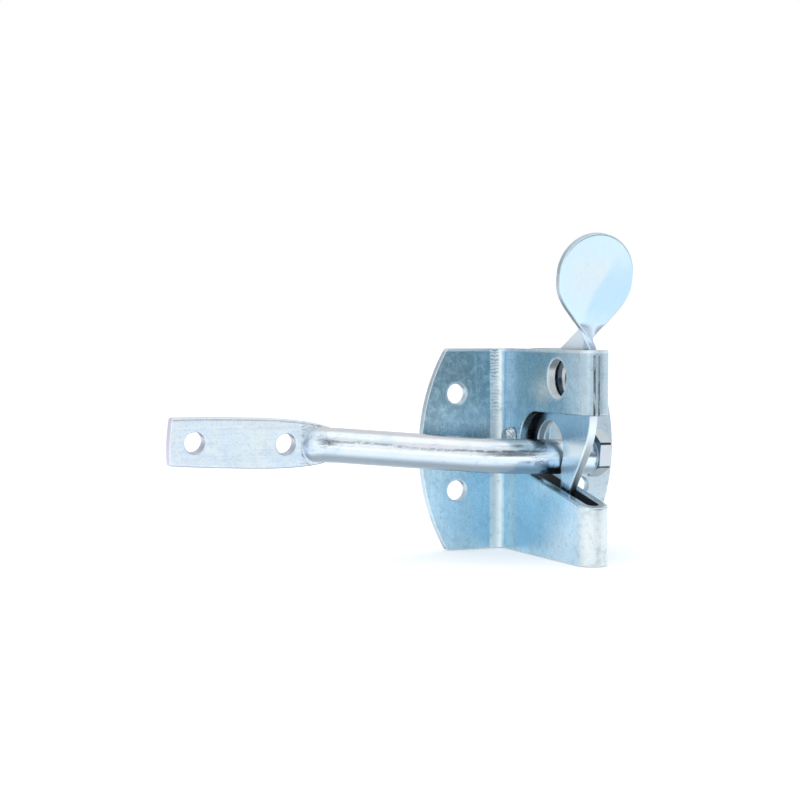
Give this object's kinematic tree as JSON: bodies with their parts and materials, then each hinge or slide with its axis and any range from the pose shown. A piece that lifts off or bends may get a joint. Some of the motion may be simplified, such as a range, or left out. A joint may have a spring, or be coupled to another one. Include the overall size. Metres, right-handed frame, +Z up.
{
  "type": "automatic gate latch",
  "caption": "Gravity gate latch: folded sheet plate with a notch, a swinging pawl with thumb paddle on a rivet, and a bent strike bar with a flattened, drilled end.",
  "frame": {"origin": "on the back of the latch plate, midway between its four screw holes", "axes": "+Z up, -Y away from the gate post, +X along the strike bar towards its head"},
  "size_m": [0.1333, 0.0496, 0.0872],
  "materials": {
    "plate_zinc": "bright blue zinc plate, semi-gloss, faint drawing marks",
    "pawl_zinc": "bright blue zinc plate, glossy face, pale cut edges",
    "rivet_zinc": "zinc plate, rough where peened",
    "bar_zinc": "bright blue zinc plate with a lavender cast, slightly uneven forged surface"
  },
  "bodies": {
    "plate": {"latch_plate": "plate_zinc", "pivot_rivet": "rivet_zinc"},
    "pawl": {"latch_pawl": "pawl_zinc"},
    "bar": {"strike_bar": "bar_zinc"}
  },
  "joints": [
    {"name": "pawl_pivot", "type": "hinge", "parent": "plate", "child": "pawl", "pos_m": [0, -0.0078, 0.0016], "axis": [-1, 0, 0], "range_deg": [0, 38]},
    {"name": "bar_play", "type": "slide", "parent": "plate", "child": "bar", "axis": [1, 0, 0], "range_m": [-0.0052, 0.0048]}
  ]
}
